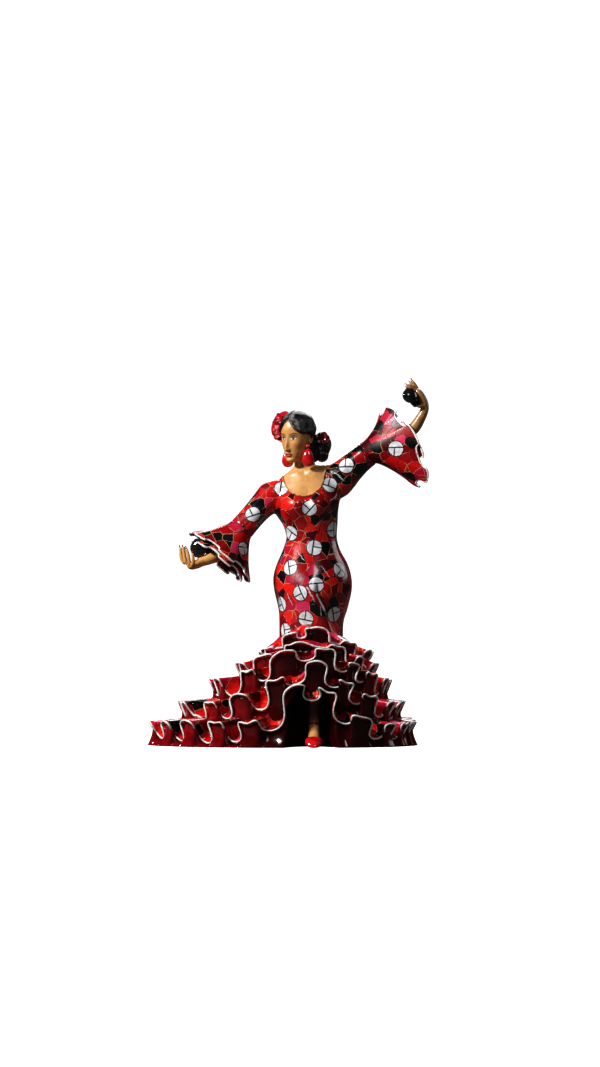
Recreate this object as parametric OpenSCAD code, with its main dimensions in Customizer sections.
// Flamenco dancer figurine, cast in parts, pinned together and hand painted.
// Origin: centre of the footprint, on the plane the figurine stands on. +Z up, the dancer faces -Y.
// Left and right are the dancer's own: the raised arm (+X side) is the left one.

/* [Skirt] */
// X of the upright axis that the body and the flounces share
axis_x = 18.5; // [16:0.5:21]
// Half width of the knee section and of the holes in the flounces
knee_half_w = 21; // [19:0.5:22]
// Half depth of the knee section
knee_half_d = 17; // [15:0.5:17.5]
// Height where the dress body stands on the skirt core
core_h = 50; // [40:1:56]
// Reach of each flounce edge towards -X, from the top flounce down
reach_west = [32.5, 48, 64.5, 85, 105.5];
// Reach of each flounce edge towards +X
reach_east = [39, 42.5, 51, 60, 68.5];
// Reach of each flounce edge towards the front
reach_front = [24.5, 28, 35, 44, 54];
// Reach of each flounce edge towards the back
reach_back = [30, 37, 46, 57, 69];
// Height of each flounce edge at the middle of the front
edge_front = [74.5, 68, 61, 49.5, 37.5];
// Height of each flounce edge at the sides
edge_side = [57.5, 49.5, 37, 23, 10.5];
// Height of each flounce edge at the back
edge_back = [56, 46, 33, 20, 9.5];
// How much higher each flounce starts than its edge, at the front
rise_front = [5, 3, 3.5, 5, 6];
// How much higher each flounce starts than its edge, at the sides and back
rise_side = [13, 13, 14, 16, 17];

/* [Ruffles] */
// Number of folds round each flounce
folds = [12, 14, 17, 21, 24];
// Half height of the folds along each edge
fold_h = [3.4, 2.8, 5.2, 5.6, 5.8];
// Half depth of the folds along each edge
fold_r = [2, 1.8, 3, 3.6, 3.8];
// Thickness of the rolled edge
edge_t = 2.2; // [1.6:0.2:2.6]
// How far the wall under an edge stands back from it
wall_inset = 2.4; // [1.5:0.1:3]
// Points round each flounce
around = 132; // [96:12:144]

/* [Alcove and foot] */
// Half angle of the open alcove under the lowest flounce, degrees
alcove_half = 20; // [16:1:22]
// Radius from the skirt axis to the back of the alcove
alcove_r = 27; // [25:0.5:30]
// Middle of the ankle, X and Y
ankle = [20, -37];
// Radius of the leg at the ankle
ankle_r = 3.6; // [3:0.1:4.2]
// Length of the shoe
shoe_l = 24; // [20:0.5:26]
// Width of the shoe
shoe_w = 11.5; // [9:0.5:12]

/* [Neckline] */
// Radius of the scooped neckline
neckline_r = 13.2; // [12:0.2:14]
// X and Z of the neckline's centre
neckline_at = [13.3, 176];

/* [Head] */
// Centre of the head
head_at = [9.3, -3, 201.5];
// Half width, half depth and half height of the head
head_half = [10.2, 12.6, 16.2];
// Turn of the head, forward tilt and sideways tilt, degrees
head_turn = [7, 0, -37];
// Thickness of the hair
hair_t = 1.5; // [1.1:0.1:2]

/* [Sleeves] */
// Wall of a sleeve flounce
cuff_t = 1.5; // [1.2:0.1:2]
// Radius of the elbow end of a sleeve
elbow_r = 8.5; // [8:0.1:9]
// Number of folds round a sleeve flounce
cuff_folds = 9; // [6:1:12]
// Half height of the folds of a sleeve flounce
cuff_fold = 1.8; // [1:0.1:2.2]

/* [Castanets] */
// Radius of a castanet shell
shell_r = 5.6; // [5:0.1:6]
// Thickness of a castanet shell
shell_t = 2.6; // [2:0.1:3]
// Gap between the two shells of a pair
shell_gap = 0.8; // [0.4:0.1:1.5]

/* [Pins] */
// Diameter of the steel pins in the shoulders, neck and skirt
pin_d = 3; // [2:0.5:3.5]
// Diameter of the steel wires in the forearms
wire_d = 2; // [1.5:0.25:2.5]
// Clearance between separate castings
gap = 0.3; // [0.2:0.05:0.4]

/* [Hidden] */

dress_red = "#b3121d";
dark_red = "#6d0a12";
skin = "#c98f57";
black = "#141213";
steel = "#b9bcc0";
lacquer_red = "#c4121c";

// Where the slope of a flounce bends, as a share of the way from hole to edge
bend = 0.6;
last = 4;
hole = [knee_half_w + gap, knee_half_d + gap];
pin_clear = 0.1;
pin_hole = pin_d + 2 * pin_clear;
wire_hole = wire_d + 2 * pin_clear;
// How far a forearm wire reaches each way from the elbow, and how far its hole does
wire_reach = 6;
wire_hole_reach = wire_reach + 0.6;
// Height of the core pin above and below the joint it crosses, and of the hole for it
core_pin_reach = 11.5;
core_hole_reach = 12;

// Sections of the torso, knee to shoulders:
// [height, middle x, middle y, half width, half depth, side slope]
torso = [
    [core_h, axis_x, 0, knee_half_w, knee_half_d, 0],
    [79, axis_x, 0, knee_half_w, knee_half_d, 0],
    [89, 19.6, 0.5, 22.7, 19, 0],
    [101, 19.6, 1.5, 25.4, 21, 0],
    [110, 19.2, 2, 25.6, 21, 0],
    [119, 19.1, 1.5, 23, 18.5, 0],
    [127.5, 18.6, 0, 18.8, 15, 0],
    [136, 18.6, -1, 16.7, 13, 0],
    [144, 17.9, -1.5, 17.9, 14, 0.03],
    [152, 15.8, -2.5, 20.4, 16, 0.06],
    [159, 15.7, -2.6, 21.6, 16.5, 0.1],
    [166, 15.6, -1, 22.4, 14.5, 0.16],
    [173, 15.4, 0.5, 22, 12.3, 0.24],
    [178.5, 14.8, 1, 17.5, 10, 0.28],
    [181.5, 14.2, 1, 10, 8.2, 0.2],
    [184, 14, 0.6, 7.2, 7.2, 0.1],
    [188, 13, 0, 6.7, 6.7, 0]
];
// Flat faces on the torso where the sleeves are glued on
torso_west = -6.2;
torso_east = 34.4;
armpit_z = 149;

// Centre line of each sleeve, from the shoulder: [x, y, z, half height, half depth]
sleeve_path_left = [
    [34.8, 0, 173, 11.5, 10], [38, 0, 175.3, 11.8, 10.8], [43.5, -1, 180.3, 9.8, 9.8],
    [50, -2, 186, 8.7, 9], [55.5, -3, 190.5, elbow_r, elbow_r]
];
sleeve_path_right = [
    [-6.6, 0, 162.5, 10.5, 9.5], [-9.5, -1, 160.3, 10, 9.8], [-15, -3, 155, 8.6, 9],
    [-21, -5.5, 148.3, 8.2, 8.6], [-27.3, -8, 141, elbow_r, elbow_r]
];
// Elbow end and mouth of each sleeve flounce: centre, then the two half axes of the opening
mouth_left = [[77.4, -4.5, 194.5], [-8.6, 0, 24.3], [12, -15.5, -4]];
mouth_right = [[-40.2, -12, 124], [-17, 0, 13.5], [-2, 14, -2.5]];
// Centre line of each forearm, from the elbow to the wrist: [x, y, z, radius]
forearm_left = [
    [57.3, -3.2, 191.6, 4.2], [70, -5, 198.5, 4.4], [84, -7.5, 206, 4.1], [92.3, -8.5, 219.5, 3]
];
forearm_right = [
    [-28.3, -8.6, 139.3, 4.2], [-35, -11, 130, 4.4], [-43, -14, 122.5, 4], [-51.5, -17, 118.6, 3]
];

function mix(a, b, t) = a + (b - a) * t;
function unit(v) = v / norm(v);
// Radius at an angle of a closed outline whose four reaches differ
function oval(angle, west, east, front, back) =
    1 / sqrt(pow(cos(angle) / (cos(angle) > 0 ? east : west), 2)
        + pow(sin(angle) / (sin(angle) > 0 ? back : front), 2));
// How much a direction points to the front, sharper for the lower flounces
front_power = [2, 2, 2, 4, 11];
function frontness(i, angle) = pow(max(0, -sin(angle)), front_power[i]);
function backness(angle) = pow(max(0, sin(angle)), 1.5);
function by_side(i, angle, front, side, back) =
    side[i] + (front[i] - side[i]) * frontness(i, angle) + (back[i] - side[i]) * backness(angle);

// Folds: a sine whose pace varies round the skirt
function fold(i, angle) =
    let (t = atan2(sin(angle) / reach_front[i], cos(angle) / reach_west[i]))
    sin(folds[i] * t + 70 * i + 55 * sin(2 * t + 40 * i) + 35 * sin(3 * t + 90 * i));
function hole_r(angle) = oval(angle, hole[0], hole[0], hole[1], hole[1]);
function edge_r(i, angle) =
    oval(angle, reach_west[i], reach_east[i], reach_front[i], reach_back[i]) + fold_r[i] * fold(i, angle);
function plain_edge_z(i, angle) = by_side(i, angle, edge_front, edge_side, edge_back);
function start_z(i, angle) =
    plain_edge_z(i, angle) + mix(rise_side[i], rise_front[i], frontness(i, angle));
// Height of a flounce's upper face at radius r
function slope_z(i, angle, r) =
    let (share = (r - hole_r(angle)) / (edge_r(i, angle) - hole_r(angle)),
         wave = fold_h[i] * fold(i, angle),
         bend_z = mix(start_z(i, angle), plain_edge_z(i, angle), bend) + 0.35 * wave,
         formula = share < bend
            ? mix(start_z(i, angle), bend_z, share / bend)
            : mix(bend_z, plain_edge_z(i, angle) + wave, (share - bend) / (1 - bend)))
    i == last ? formula : max(formula, floor_z(i, angle, r) + edge_t);
// Height of a flounce's underside: just above the flounce below
function floor_z(i, angle, r) = i == last ? 0 : slope_z(i + 1, angle, r) + gap;
// The alcove pushes the wall under the lowest flounce inwards
function alcove(i, angle) =
    i < last ? 0 : let (off = abs(angle - 270) / alcove_half) off < 1 ? pow(cos(90 * off), 0.35) : 0;
function wall_r(i, angle) =
    mix(edge_r(i, angle) - wall_inset, alcove_r, alcove(i, angle));

// One radial cut of a flounce, as [radius, height] points
function flounce_cut(i, angle) =
    let (r0 = hole_r(angle), r1 = edge_r(i, angle), rw = wall_r(i, angle),
         z1 = slope_z(i, angle, r1),
         below = i == last ? rw : mix(r0, edge_r(i + 1, angle), bend),
         rm = below < rw - 1 ? below : mix(r0, rw, 0.5),
         lip = max(z1 - edge_t, floor_z(i, angle, rw) + 0.6))
    [[r0, slope_z(i, angle, r0)],
     [mix(r0, r1, bend), slope_z(i, angle, mix(r0, r1, bend))],
     [r1, z1],
     [mix(r1, r1 - wall_inset, 0.7), lip],
     i == last ? [rw, lip - 1.5] : [rw, mix(lip, floor_z(i, angle, rw), 0.3)],
     [rw, floor_z(i, angle, rw)],
     [rm, floor_z(i, angle, rm)],
     [r0, floor_z(i, angle, r0)]];

// Triangles between two neighbouring rings of n points
function band(a, b, n) = [
    for (k = [0 : n - 1]) let (m = (k + 1) % n)
    each [[a * n + k, b * n + k, b * n + m], [a * n + k, b * n + m, a * n + m]]
];
// Solid skin through closed rings that themselves run in a closed circle
module round_loft(rings) {
    n = len(rings[0]);
    count = len(rings);
    polyhedron([for (ring = rings) each ring],
        [for (i = [0 : count - 1]) each band(i, (i + 1) % count, n)]);
}
// Solid skin through a stack of closed rings, its ends closed with fans
module loft(rings) {
    n = len(rings[0]);
    count = len(rings);
    middle = function (ring) [for (axis = [0 : 2]) [for (p = ring) p[axis]] * [for (p = ring) 1] / n];
    polyhedron(
        [each [for (ring = rings) each ring], middle(rings[0]), middle(rings[count - 1])],
        [each [for (i = [0 : count - 2]) each band(i, i + 1, n)],
         for (k = [0 : n - 1]) [count * n, k, (k + 1) % n],
         for (k = [0 : n - 1]) [count * n + 1, (count - 1) * n + (k + 1) % n, (count - 1) * n + k]]);
}
// Ring of n points about a centre, with half axes u and v; a loft runs along u x v
function ring_at(centre, u, v, n) =
    [for (k = [0 : n - 1]) centre + u * cos(360 * k / n) + v * sin(360 * k / n)];
// Rings along a path of [x, y, z, half height, half depth] points
function path_rings(path, n) = [
    for (i = [0 : len(path) - 1])
    let (point = function (k) [for (axis = [0 : 2]) path[k][axis]],
         before = point(max(i - 1, 0)), after = point(min(i + 1, len(path) - 1)),
         along = unit(after - before), deep = unit([0, 1, 0] - along * along[1]), up = cross(deep, along),
         half_w = path[i][3], half_d = len(path[i]) > 4 ? path[i][4] : path[i][3])
    ring_at(point(i), up * half_w, deep * half_d, n)
];
// A chain of balls joined by their hulls: [x, y, z, radius] points
module chain(points) {
    for (i = [0 : len(points) - 2]) hull() for (k = [i, i + 1])
        translate([points[k][0], points[k][1], points[k][2]]) sphere(r = points[k][3], $fn = 10);
}
// Lets the solids in it be joined as one mesh
module meshed() { resize([0, 0, 0]) children(); }
module pin(from, to, d) {
    along = to - from;
    translate(from) rotate([0, acos(along[2] / norm(along)), atan2(along[1], along[0])])
        cylinder(h = norm(along), d = d, $fn = 32);
}

module skirt_core() {
    color(dark_red) difference() {
        linear_extrude(core_h - gap)
            polygon([for (k = [0 : 63]) let (angle = 360 * k / 64)
                [axis_x + knee_half_w * cos(angle), knee_half_d * sin(angle)]]);
        translate([axis_x, 0, core_h - core_hole_reach])
            cylinder(h = core_hole_reach + 1, d = pin_hole, $fn = 32);
    }
}
module core_pin() {
    color(steel) translate([axis_x, 0, core_h - core_pin_reach])
        cylinder(h = 2 * core_pin_reach, d = pin_d, $fn = 32);
}
module flounce(i) {
    color(dress_red) round_loft([
        for (k = [0 : around - 1]) let (angle = 360 * k / around)
        [for (cut = flounce_cut(i, angle)) [axis_x + cut[0] * cos(angle), cut[0] * sin(angle), cut[1]]]
    ]);
}

module torso_skin(inset) {
    loft([for (s = torso) [
        for (k = [0 : 31]) let (angle = 360 * k / 32, x = (s[3] - inset) * cos(angle))
        [s[1] + x, s[2] + (s[4] - inset) * sin(angle), s[0] + s[5] * x]
    ]]);
}
// Upright channel through the torso whose front outline is the neckline
module neckline(r) {
    translate([neckline_at[0], 0, neckline_at[1]]) rotate([90, 0, 0])
        linear_extrude(80, center = true) union() {
            circle(r = r, $fn = 48);
            translate([-r, 0]) square([2 * r, 40]);
        }
}
module dress_body() {
    color(dress_red) difference() {
        meshed() difference() {
            torso_skin(0);
            translate([torso_east, -40, armpit_z]) cube(80);
            translate([torso_west - 80, -40, armpit_z]) cube(80);
            neckline(neckline_r);
        }
        translate([axis_x, 0, core_h - 1]) cylinder(h = core_hole_reach + 1, d = pin_hole, $fn = 32);
        shoulder_pins(pin_hole);
    }
}
module chest() {
    color(skin) difference() {
        meshed() intersection() {
            torso_skin(0.6);
            neckline(neckline_r - gap);
        }
        neck_pin_at(pin_hole);
    }
}
module neck_pin_at(d) { pin([13.2, 0, 178], [12.6, -0.4, 196], d); }
module neck_pin() { color(steel) neck_pin_at(pin_d); }
module shoulder_pins(d) {
    pin([29, 0, 169], [43, -0.5, 180], d);
    pin([-1.5, 0, 165.5], [-14, -2.5, 156.5], d);
}
module shoulder_pin_left() { color(steel) pin([29.5, 0, 169.4], [42.6, -0.5, 179.7], pin_d); }
module shoulder_pin_right() { color(steel) pin([-2, 0, 165.1], [-13.6, -2.4, 156.8], pin_d); }

module sleeve(path, forearm) {
    color(dress_red) difference() {
        loft(path_rings(path, 20));
        shoulder_pins(pin_hole);
        arm_wire_at(forearm, wire_hole, wire_hole_reach);
    }
}
function elbow_axis(forearm) =
    unit([for (axis = [0 : 2]) forearm[1][axis] - forearm[0][axis]]);
module arm_wire_at(forearm, d, reach) {
    start = [for (axis = [0 : 2]) forearm[0][axis]];
    pin(start - elbow_axis(forearm) * reach, start + elbow_axis(forearm) * reach, d);
}

// The inner flounce of a sleeve: share of the outer one's mouth, elbow radius, how far it stands out
inner_size = 0.8;
inner_root_r = elbow_r - 1.9;
inner_push = 3.5;
// A flared sleeve flounce between an elbow ring and a wavy mouth
module cuff(path, mouth, size, root_r, push, phase) {
    tip = path[len(path) - 1];
    back = path[len(path) - 2];
    along = unit([for (axis = [0 : 2]) tip[axis] - back[axis]]);
    start = [tip[0], tip[1], tip[2]] + along * gap;
    u = unit(mouth[1] - along * (along * mouth[1]));
    v = cross(along, u);
    out = unit(mouth[0] - start);
    point = function (share, angle, t)
        let (wave = sin(cuff_folds * angle + phase),
             root = (root_r - cuff_t * t) * (1 - share),
             open = size * share * (1 - cuff_t * t / norm(mouth[1])) * (1 + 0.06 * share * wave))
        mix(start, mouth[0] + out * push, share) + out * share * share * cuff_fold * wave
            + (u * cos(angle) + v * sin(angle)) * root
            + (mouth[1] * cos(angle) + mouth[2] * sin(angle)) * open;
    color(dress_red) round_loft([
        for (k = [0 : 53]) let (angle = 360 * k / 54)
        [for (cut = [[0, 1], [0.55, 1], [1, 1], [1, 0], [0.55, 0], [0, 0]]) point(cut[0], angle, cut[1])]
    ]);
}

// Finger chains lie in the hand's own frame: the hand points along +Z, its palm faces -Y
module hand(palm, fingers, thumb) {
    chain(palm);
    for (finger = fingers) chain(finger);
    chain(thumb);
}
module hand_left() {
    color(skin) difference() {
        meshed() union() {
            chain(forearm_left);
            hand([[92.3, -8.5, 219.5, 3], [91, -8, 224, 3.2], [88.5, -8, 229.5, 3.4],
                    [85.6, -8, 232.3, 2.4]],
                [[[86.3, -11, 232.8, 1.6], [83, -12, 236, 1.45], [80.2, -12.3, 235.9, 1.2]],
                 [[87, -9, 233.4, 1.6], [84.6, -9.6, 237.6, 1.45], [82, -9.6, 238.4, 1.2]],
                 [[88, -6.8, 233.4, 1.6], [86.3, -6.5, 237.6, 1.4], [83.6, -6.3, 238.6, 1.1]],
                 [[88.6, -4.8, 232.2, 1.5], [88, -4, 236, 1.3], [85.8, -3.6, 237.6, 1.1]]],
                [[90, -9.5, 224, 1.8], [86.2, -12.4, 223.4, 1.4], [83.6, -13.2, 223, 1.1]]);
        }
        arm_wire_at(forearm_left, wire_hole, wire_hole_reach);
    }
}
module hand_right() {
    color(skin) difference() {
        meshed() union() {
            chain(forearm_right);
            hand([[-51.5, -17, 118.6, 3], [-55.5, -17, 117, 3.2], [-59, -17.5, 116.4, 2.8]],
                [[[-59.5, -20, 116.6, 1.6], [-64.6, -21, 119.6, 1.45], [-66.2, -20.6, 124, 1.3],
                    [-67, -20, 128.3, 1.1]],
                 [[-60, -18, 116.8, 1.6], [-63.2, -18, 121, 1.45], [-64.3, -17.6, 125.4, 1.3],
                    [-64.5, -17, 129.2, 1.1]],
                 [[-60, -16, 117, 1.6], [-61.7, -15.4, 121.4, 1.4], [-62.3, -14.6, 125.6, 1.2],
                    [-62.4, -14, 129, 1.1]],
                 [[-59.4, -14.4, 117.4, 1.5], [-59.4, -13, 121.6, 1.3], [-58.8, -12.2, 125.2, 1.1]]],
                [[-54, -19, 118, 1.7], [-52.6, -22.6, 121, 1.4], [-53, -23.6, 124.5, 1.1]]);
        }
        arm_wire_at(forearm_right, wire_hole, wire_hole_reach);
    }
}

// Half of a castanet: a domed disc with a hollow face and a lug for its cord
module shell() {
    rotate_extrude($fn = 48) difference() {
        scale([1, shell_t / shell_r]) intersection() {
            circle(r = shell_r, $fn = 48);
            square([shell_r, shell_r]);
        }
        scale([1, 0.45]) circle(r = shell_r * 0.45, $fn = 32);
    }
}
module castanet(at, turn, side) {
    color(black) translate(at) rotate(turn) rotate([side > 0 ? 0 : 180, 0, 0])
        translate([0, 0, shell_gap / 2]) shell();
}
castanet_left_at = [80.6, -9.5, 228.2];
castanet_left_turn = [70, 0, 38];
castanet_right_at = [-55.4, -17.2, 127.5];
castanet_right_turn = [84, 0, -12];

// The head in its own frame: it looks along -Y
module at_head() { translate(head_at) rotate(head_turn) children(); }
// Outline of the head at height share h (-1 chin to 1 crown), as [half width, front, back]
head_levels = [
    [-1, 0.2, 0.62, -0.3], [-0.93, 0.36, 0.8, -0.12], [-0.8, 0.52, 0.86, 0.15], [-0.6, 0.68, 0.87, 0.42],
    [-0.38, 0.8, 0.88, 0.7], [-0.1, 0.93, 0.88, 0.9], [0.15, 0.98, 0.88, 1], [0.4, 0.97, 0.87, 1],
    [0.65, 0.83, 0.72, 0.88], [0.84, 0.6, 0.48, 0.66], [0.96, 0.3, 0.22, 0.34]
];
function head_ring(level, grow) = [
    for (k = [0 : 23])
    let (angle = 360 * k / 24, ahead = (level[2] + level[3]) / 2, middle = (level[3] - level[2]) / 2)
    [(head_half[0] * level[1] + grow) * cos(angle),
     head_half[1] * middle + (head_half[1] * ahead + grow) * sin(angle),
     (head_half[2] + grow) * level[0]]
];
module head_shell(grow) { loft([for (level = head_levels) head_ring(level, grow)]); }
module head() {
    color(skin) difference() {
        meshed() at_head() union() {
            head_shell(0);
            chain([[0, -10.6, 3, 0.9], [0, -12.2, -2, 1.2]]);
            chain([[0, -10.4, -6.5, 1], [0, -9.6, -13, 1.5]]);
            for (side = [-1, 1]) chain([[side * 10, 0.6, 1, 1.3], [side * 9.4, 0.2, -3.6, 0.9]]);
            chain([[1.5, 3, -13, 5.6], [2, 3.4, -15.5, 5.6]]);
        }
        neck_pin_at(pin_hole);
        translate([0, 0, -gap]) meshed() intersection() {
            torso_skin(-0.5);
            translate([0, -20, 150]) cube([30, 40, 38.6]);
        }
    }
}
// Hair: a shell over the skull behind a plane that leaves the face and ears free
module hair() {
    color(black) meshed() difference() {
        at_head() intersection() {
            head_shell(hair_t);
            translate([0, 0, -3]) rotate([-38, 0, 0]) translate([-30, -30, 0]) cube([60, 60, 40]);
        }
        at_head() head_shell(gap);
        at_head() for (side = [-1, 1]) chain([[side * 10, 0.6, 1, 1.7], [side * 9.4, 0.2, -3.6, 1.4]]);
        bun_lobes(gap);
    }
}
module bun_lobes(grow) {
    at_head() for (k = [0 : 6]) let (angle = 360 * k / 7)
        translate([8.6 + 3.2 * cos(angle), 10.2 + 2 * cos(angle + 60), -6.6 + 4.2 * sin(angle)])
            sphere(r = 4 + grow, $fn = 10);
    at_head() translate([8.6, 10, -6.6]) sphere(r = 4.6 + grow, $fn = 10);
}
module hair_bun() {
    color(black) meshed() difference() {
        bun_lobes(0);
        at_head() head_shell(gap);
    }
}
// A rose that faces +Z: a stack of lobed rings, each whorl of petals turned against the last
module rose(r, petals) {
    whorls = [[0.2, -0.2, 0], [0.75, -0.06, 0], [1, 0.14, 0], [0.86, 0.2, 0.5], [0.8, 0.36, 0.5],
        [0.62, 0.42, 1], [0.52, 0.55, 1], [0.3, 0.6, 1.5]];
    loft([for (whorl = whorls) [
        for (k = [0 : petals * 6 - 1])
        let (angle = 60 * k / petals, lobe = abs(cos(petals * angle / 2 + 90 * whorl[2])))
        [r * whorl[0] * (0.84 + 0.16 * lobe) * cos(angle), r * whorl[0] * (0.84 + 0.16 * lobe) * sin(angle),
         r * whorl[1]]
    ]]);
}
module side_flower() {
    color(lacquer_red) translate([-6.4, -5.4, 208.4]) rotate([84, 0, -56]) rose(9.6, 5);
}
module bun_flower() {
    color(dark_red) translate([26.6, -3.6, 200.8]) rotate([84, 0, 16]) rose(4.6, 5);
}
// A drop earring: a turned drop under a small stud
module earring(at) {
    color(lacquer_red) translate(at) rotate_extrude($fn = 32) polygon([
        [0, 1.5], [0.9, 1], [0.8, -0.6],
        for (angle = [60 : -15 : -90]) [3.5 * cos(angle), 5.2 * (sin(angle) - 1) - 1.2]
    ]);
}
module earring_left() { earring([15.7, -11.3, 195.3]); }
module earring_right() { earring([2.2, 4.2, 194.4]); }

module leg() {
    color(skin) loft([for (s = [
            [3.4, -44.5, 3.2, 3.6], [7.5, -41.5, 3.4, 4.2], [11, -38.4, 3.5, 4.2],
            [15, -37, ankle_r, ankle_r],
            [20, -36.6, 3.9, 4], [30.5, -36.2, 4.5, 4.6]
        ]) ring_at([ankle[0], s[1], s[0]], [s[2], 0, 0], [0, s[3], 0], 20)]);
}
module ankle_strap() {
    color(dark_red) translate([ankle[0], -37, 15.2]) rotate_extrude($fn = 48)
        translate([ankle_r + 0.8, 0]) scale([0.45, 1]) circle(r = 1, $fn = 24);
}
// A court shoe on a block heel, toe to the front
module shoe() {
    front = -58;
    color(lacquer_red) meshed() difference() {
        union() {
            loft([for (s = [
                    [0, 0.1, 1.2], [0.04, 0.6, 3.4], [0.16, 0.92, 5.6], [0.35, 1, 7.4],
                    [0.6, 0.8, 8.6], [0.85, 0.68, 9.6], [1, 0.5, 9.4]
                ]) let (half_w = s[1] * shoe_w / 2, low = 3 * s[0] * s[0], mid = (s[2] + low) / 2)
                ring_at([ankle[0], front + shoe_l * s[0], mid],
                    [half_w, 0, 0], [0, 0, (low - s[2]) / 2], 16)]);
            translate([ankle[0], front + shoe_l - 3.2, 0]) cylinder(h = 4, d1 = 4.6, d2 = 5.6, $fn = 24);
        }
        loft([for (s = [
                [3, -44.5, 3.5, 3.9], [7.5, -41.5, 3.7, 4.5], [11, -38.4, 3.8, 4.5], [15, -37, 4, 4]
            ])
            ring_at([ankle[0], s[1], s[0]], [s[2], 0, 0], [0, s[3], 0], 20)]);
    }
}

skirt_core();
flounce(0);  // flounce_1
flounce(1);  // flounce_2
flounce(2);  // flounce_3
flounce(3);  // flounce_4
flounce(4);  // flounce_5
dress_body();
core_pin();
chest();
neck_pin();
head();
hair();
hair_bun();
side_flower();
bun_flower();
earring_left();
earring_right();
sleeve(sleeve_path_left, forearm_left);  // sleeve_left
sleeve(sleeve_path_right, forearm_right);  // sleeve_right
shoulder_pin_left();
shoulder_pin_right();
cuff(sleeve_path_left, mouth_left, 1, elbow_r, 0, 0);  // cuff_left_outer
cuff(sleeve_path_left, mouth_left, inner_size, inner_root_r, inner_push, 90);  // cuff_left_inner
cuff(sleeve_path_right, mouth_right, 1, elbow_r, 0, 40);  // cuff_right_outer
cuff(sleeve_path_right, mouth_right, inner_size, inner_root_r, inner_push, 120);  // cuff_right_inner
hand_left();
hand_right();
color(steel) arm_wire_at(forearm_left, wire_d, wire_reach);  // arm_wire_left
color(steel) arm_wire_at(forearm_right, wire_d, wire_reach);  // arm_wire_right
castanet(castanet_left_at, castanet_left_turn, 1);  // castanet_left_front
castanet(castanet_left_at, castanet_left_turn, -1);  // castanet_left_back
castanet(castanet_right_at, castanet_right_turn, 1);  // castanet_right_front
castanet(castanet_right_at, castanet_right_turn, -1);  // castanet_right_back
leg();
ankle_strap();
shoe();
